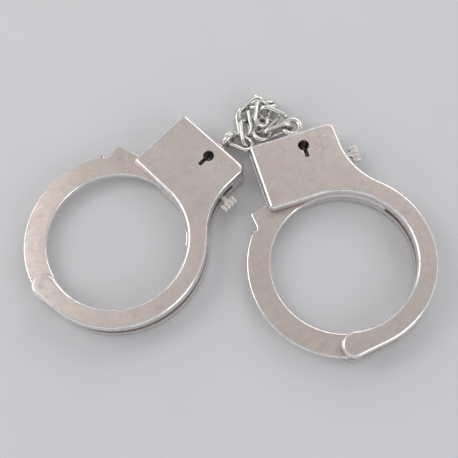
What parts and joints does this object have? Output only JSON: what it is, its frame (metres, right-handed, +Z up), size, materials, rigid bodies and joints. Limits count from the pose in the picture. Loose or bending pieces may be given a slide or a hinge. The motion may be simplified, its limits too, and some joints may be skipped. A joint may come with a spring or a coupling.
{
  "type": "chained handcuffs",
  "caption": "Pair of double-strand handcuffs with toothed single-strand jaws, side release levers, keyholes and a short chain of oval links, lying flat.",
  "frame": {"origin": "centre of the footprint on the surface the handcuffs lie on", "axes": "+Z up out of the keyhole faces, +X from the second cuff to the first, +Y towards the chain"},
  "size_m": [0.1626, 0.114, 0.0114],
  "materials": {
    "shell": "satin nickel plate, bright rounded edges, light handling scratches",
    "jaw": "satin nickel plate, bright edges",
    "rivet": "ground flush with the shells",
    "lock_steel": "plain hardened steel, lightly oiled",
    "spring": "blued spring steel",
    "swivel": "bright nickel plate",
    "chain": "bright nickel plated wire"
  },
  "bodies": {
    "cuff_a": {"a_front_shell": "shell", "a_back_shell": "shell", "a_jaw_rivet": "rivet", "a_pawl_pin": "rivet", "a_pawl_spring": "spring", "a_key_post": "lock_steel", "a_shell_rivets": "rivet", "a_swivel_bush": "lock_steel"},
    "jaw_a": {"a_jaw": "jaw"},
    "pawl_a": {"a_pawl": "lock_steel"},
    "swivel_a": {"a_swivel": "swivel"},
    "link_1": {"link_01": "chain"},
    "link_2": {"link_02": "chain"},
    "link_3": {"link_03": "chain"},
    "link_4": {"link_04": "chain"},
    "link_5": {"link_05": "chain"},
    "link_6": {"link_06": "chain"},
    "link_7": {"link_07": "chain"},
    "link_8": {"link_08": "chain"},
    "link_9": {"link_09": "chain"},
    "link_10": {"link_10": "chain"},
    "cuff_b": {"b_front_shell": "shell", "b_back_shell": "shell", "b_jaw_rivet": "rivet", "b_pawl_pin": "rivet", "b_pawl_spring": "spring", "b_key_post": "lock_steel", "b_shell_rivets": "rivet", "b_swivel_bush": "lock_steel"},
    "jaw_b": {"b_jaw": "jaw"},
    "pawl_b": {"b_pawl": "lock_steel"},
    "swivel_b": {"b_swivel": "swivel"}
  },
  "joints": [
    {"name": "jaw_a_pivot", "type": "hinge", "parent": "cuff_a", "child": "jaw_a", "pos_m": [0.04696, -0.05217, 0.0057], "axis": [0, 0, 1], "continuous": true},
    {"name": "pawl_a_pivot", "type": "hinge", "parent": "cuff_a", "child": "pawl_a", "pos_m": [0.02088, 0.01501, 0.0057], "axis": [0, 0, 1], "range_deg": [-6, 7], "stiffness_Nm_per_rad": 0.01, "springref_deg": -6, "deforming": ["a_pawl_spring"]},
    {"name": "swivel_a_turn", "type": "hinge", "parent": "cuff_a", "child": "swivel_a", "pos_m": [0.03013, 0.03602, 0.0057], "axis": [-0.2656, 0.9641, 0], "continuous": true},
    {"name": "link_1_swing", "type": "hinge", "parent": "swivel_a", "child": "link_1", "pos_m": [0.02545, 0.04101, 0.0057], "axis": [-0.007, 1, 0], "range_deg": [-7.5, 75]},
    {"name": "link_2_swing", "type": "hinge", "parent": "link_1", "child": "link_2", "pos_m": [0.01878, 0.03822, 0.00432], "axis": [0.29, 0.7969, -0.5299], "range_deg": [-9.5, 3.8]},
    {"name": "link_3_swing", "type": "hinge", "parent": "link_2", "child": "link_3", "pos_m": [0.01619, 0.04542, 0.00208], "axis": [0.8188, 0.2437, -0.5198], "range_deg": [-11.5, 1.8]},
    {"name": "link_4_swing", "type": "hinge", "parent": "link_3", "child": "link_4", "pos_m": [0.02144, 0.0449, 0.00366], "axis": [-0.7956, -0.5995, -0.0872], "range_deg": [-9.5, 3.8]},
    {"name": "link_5_swing", "type": "hinge", "parent": "link_4", "child": "link_5", "pos_m": [0.01614, 0.04931, 0.00686], "axis": [0.5439, 0.3067, 0.7811], "range_deg": [-3.8, 2.8]},
    {"name": "link_6_swing", "type": "hinge", "parent": "link_5", "child": "link_6", "pos_m": [0.01531, 0.05125, 0.00536], "axis": [-0.9525, 0.1851, -0.2419], "range_deg": [-4.8, 17]},
    {"name": "link_7_swing", "type": "hinge", "parent": "link_6", "child": "link_7", "pos_m": [0.01706, 0.05423, 0.00334], "axis": [-0.0662, -0.7777, -0.6252], "range_deg": [-1.4, 13]},
    {"name": "link_8_swing", "type": "hinge", "parent": "link_7", "child": "link_8", "pos_m": [0.00761, 0.04777, 0.00239], "axis": [-0.616, 0.4322, 0.6586], "range_deg": [-8.5, 2.8]},
    {"name": "link_9_swing", "type": "hinge", "parent": "link_8", "child": "link_9", "pos_m": [0.01035, 0.03992, 0.00285], "axis": [0.8067, 0.3577, 0.4704], "range_deg": [-2.8, 19]},
    {"name": "link_10_swing", "type": "hinge", "parent": "link_9", "child": "link_10", "pos_m": [0.00802, 0.03875, 0.00364], "axis": [0.8566, -0.5147, 0.0349], "range_deg": [-38, 13]},
    {"name": "swivel_b_swing", "type": "hinge", "parent": "link_10", "child": "swivel_b", "pos_m": [0.00448, 0.03828, 0.00441], "axis": [-0.283, -0.2695, -0.9205], "range_deg": [-15, 75]},
    {"name": "swivel_b_turn", "type": "hinge", "parent": "swivel_b", "child": "cuff_b", "pos_m": [-0.00148, 0.0326, 0.0057], "axis": [0.7242, 0.6896, 0], "continuous": true},
    {"name": "jaw_b_pivot", "type": "hinge", "parent": "cuff_b", "child": "jaw_b", "pos_m": [-0.07126, -0.02391, 0.0057], "axis": [0, 0, 1], "continuous": true},
    {"name": "pawl_b_pivot", "type": "hinge", "parent": "cuff_b", "child": "pawl_b", "pos_m": [-0.02437, 0.03082, 0.0057], "axis": [0, 0, 1], "range_deg": [-6, 7], "stiffness_Nm_per_rad": 0.01, "springref_deg": -6, "deforming": ["b_pawl_spring"]}
  ]
}
